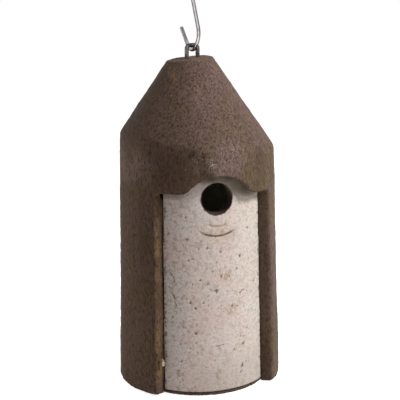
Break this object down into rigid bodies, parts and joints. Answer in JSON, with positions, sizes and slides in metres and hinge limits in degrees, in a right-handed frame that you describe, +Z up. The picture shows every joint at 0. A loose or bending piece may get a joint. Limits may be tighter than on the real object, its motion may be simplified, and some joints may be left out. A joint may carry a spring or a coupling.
{
  "type": "bird nest box",
  "caption": "Hanging nest box of wood-concrete: round tapered body with a cone roof, arched brow, round entrance in a removable curved front panel, wire hook on a staple.",
  "frame": {"origin": "middle of the standing rim, on the axis of the round wall, level with the underside of the floor", "axes": "+Z up, the entrance faces -Y, +X to the right of someone who looks at the front"},
  "size_m": [0.1768, 0.1745, 0.4871],
  "materials": {
    "brown_stone": "matt, coarse, stained dark brown",
    "floor_stone": "matt, coarse",
    "pale_stone": "matt, pitted, pale grey",
    "dull_steel": "dull grey wire",
    "bright_steel": "bright galvanised wire",
    "catch_steel": "galvanised wire, dusty"
  },
  "bodies": {
    "box": {"body_casting": "brown_stone", "floor_disc": "floor_stone", "hanger_staple": "dull_steel"},
    "panel": {"front_panel": "pale_stone"},
    "hook": {"hanger_hook": "bright_steel"},
    "catch": {"panel_catch": "catch_steel"}
  },
  "joints": [
    {"name": "panel_tilt", "type": "hinge", "parent": "box", "child": "panel", "pos_m": [0, -0.04, 0.2105], "axis": [-1, 0, 0], "range_deg": [0, 25]},
    {"name": "catch_turn", "type": "hinge", "parent": "box", "child": "catch", "pos_m": [-0.05975, -0.05572, 0.04], "axis": [0.682, -0.7314, 0], "range_deg": [0, 75]},
    {"name": "hook_swing", "type": "hinge", "parent": "box", "child": "hook", "pos_m": [-0.0039, 0, 0.361], "axis": [0.9063, 0.4226, 0], "range_deg": [-70, 80]}
  ]
}
